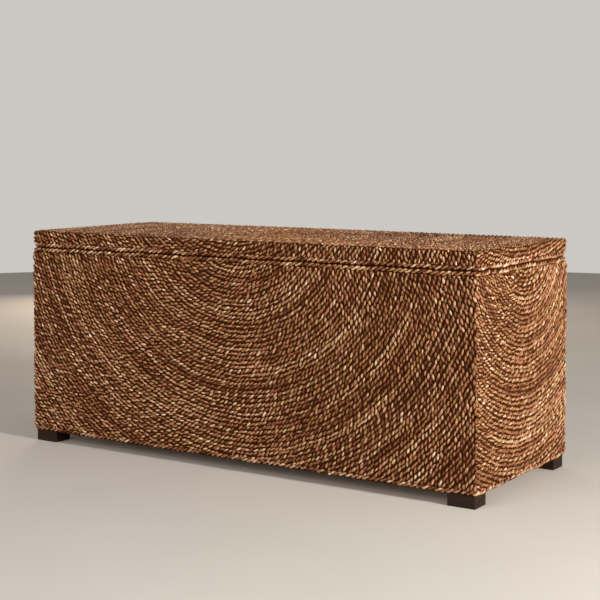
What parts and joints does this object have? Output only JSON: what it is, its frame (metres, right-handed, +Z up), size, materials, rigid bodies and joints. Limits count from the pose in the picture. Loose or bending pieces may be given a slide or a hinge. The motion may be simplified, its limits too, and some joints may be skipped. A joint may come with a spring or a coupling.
{
  "type": "storage trunk",
  "caption": "Long low rope-covered storage trunk on four short feet, with a flat hinged lid held open by slotted stays.",
  "frame": {"origin": "on the floor, under the middle of the trunk", "axes": "+X along the length towards the trunk's right end seen from the front, +Y towards the hinged back, +Z up"},
  "size_m": [1.067, 0.4132, 0.457],
  "materials": {
    "woven_rope": "laid rows of twisted plant fibre rope, glossy leaf strips",
    "edge_rope": "single twisted plant fibre rope",
    "plywood": "bare plywood",
    "pine": "planed softwood, eased edges",
    "dark_wood": "dark brown stain, satin lacquer",
    "hinge_metal": "aged brass",
    "stay_metal": "zinc plated steel",
    "screw_metal": "zinc plated steel",
    "bumper_rubber": "soft black rubber"
  },
  "bodies": {
    "trunk_body": {"back_panel": "plywood", "back_weave": "woven_rope", "body_rim_rope": "edge_rope", "bottom_edge_rope": "edge_rope", "bottom_rail_back": "pine", "bottom_rail_front": "pine", "bottom_rail_left": "pine", "bottom_rail_right": "pine", "corner_post_back_left": "pine", "corner_post_back_right": "pine", "corner_post_front_left": "pine", "corner_post_front_right": "pine", "floor_batten_left": "pine", "floor_batten_right": "pine", "floor_panel": "plywood", "foot_back_left": "dark_wood", "foot_back_right": "dark_wood", "foot_front_left": "dark_wood", "foot_front_right": "dark_wood", "foot_screws": "screw_metal", "front_panel": "plywood", "front_weave": "woven_rope", "hinge_body_leaf_centre": "hinge_metal", "hinge_body_leaf_left": "hinge_metal", "hinge_body_leaf_right": "hinge_metal", "hinge_body_screws": "screw_metal", "hinge_pin_centre": "hinge_metal", "hinge_pin_left": "hinge_metal", "hinge_pin_right": "hinge_metal", "left_panel": "plywood", "left_weave": "woven_rope", "right_panel": "plywood", "right_weave": "woven_rope", "rim_bumpers": "bumper_rubber", "stay_body_stud_left": "stay_metal", "stay_body_stud_right": "stay_metal", "top_rail_back": "pine", "top_rail_front": "pine", "top_rail_left": "pine", "top_rail_right": "pine"},
    "lid": {"hinge_lid_leaf_centre": "hinge_metal", "hinge_lid_leaf_left": "hinge_metal", "hinge_lid_leaf_right": "hinge_metal", "hinge_lid_screws": "screw_metal", "lid_batten": "pine", "lid_panel": "plywood", "lid_rail_back": "pine", "lid_rail_front": "pine", "lid_rail_left": "pine", "lid_rail_right": "pine", "lid_rim_rope": "edge_rope", "lid_weave": "woven_rope", "stay_lid_pivot_left": "stay_metal", "stay_lid_pivot_right": "stay_metal"},
    "stay_arm_left": {"stay_arm_left": "stay_metal"},
    "stay_arm_right": {"stay_arm_right": "stay_metal"}
  },
  "joints": [
    {"name": "lid_hinge", "type": "hinge", "parent": "trunk_body", "child": "lid", "pos_m": [0, 0.207, 0.422], "axis": [-1, 0, 0], "range_deg": [0, 95]},
    {"name": "stay_pivot_left", "type": "hinge", "parent": "lid", "child": "stay_arm_left", "pos_m": [-0.4895, 0.05727, 0.431], "axis": [-1, 0, 0], "range_deg": [-48, 1]},
    {"name": "stay_pivot_right", "type": "hinge", "parent": "lid", "child": "stay_arm_right", "pos_m": [0.4895, 0.05727, 0.431], "axis": [-1, 0, 0], "range_deg": [-48, 1]}
  ],
  "couplings": [
    {"joint": "stay_pivot_left", "follows": "lid_hinge", "ratio": -0.5},
    {"joint": "stay_pivot_right", "follows": "lid_hinge", "ratio": -0.5}
  ]
}
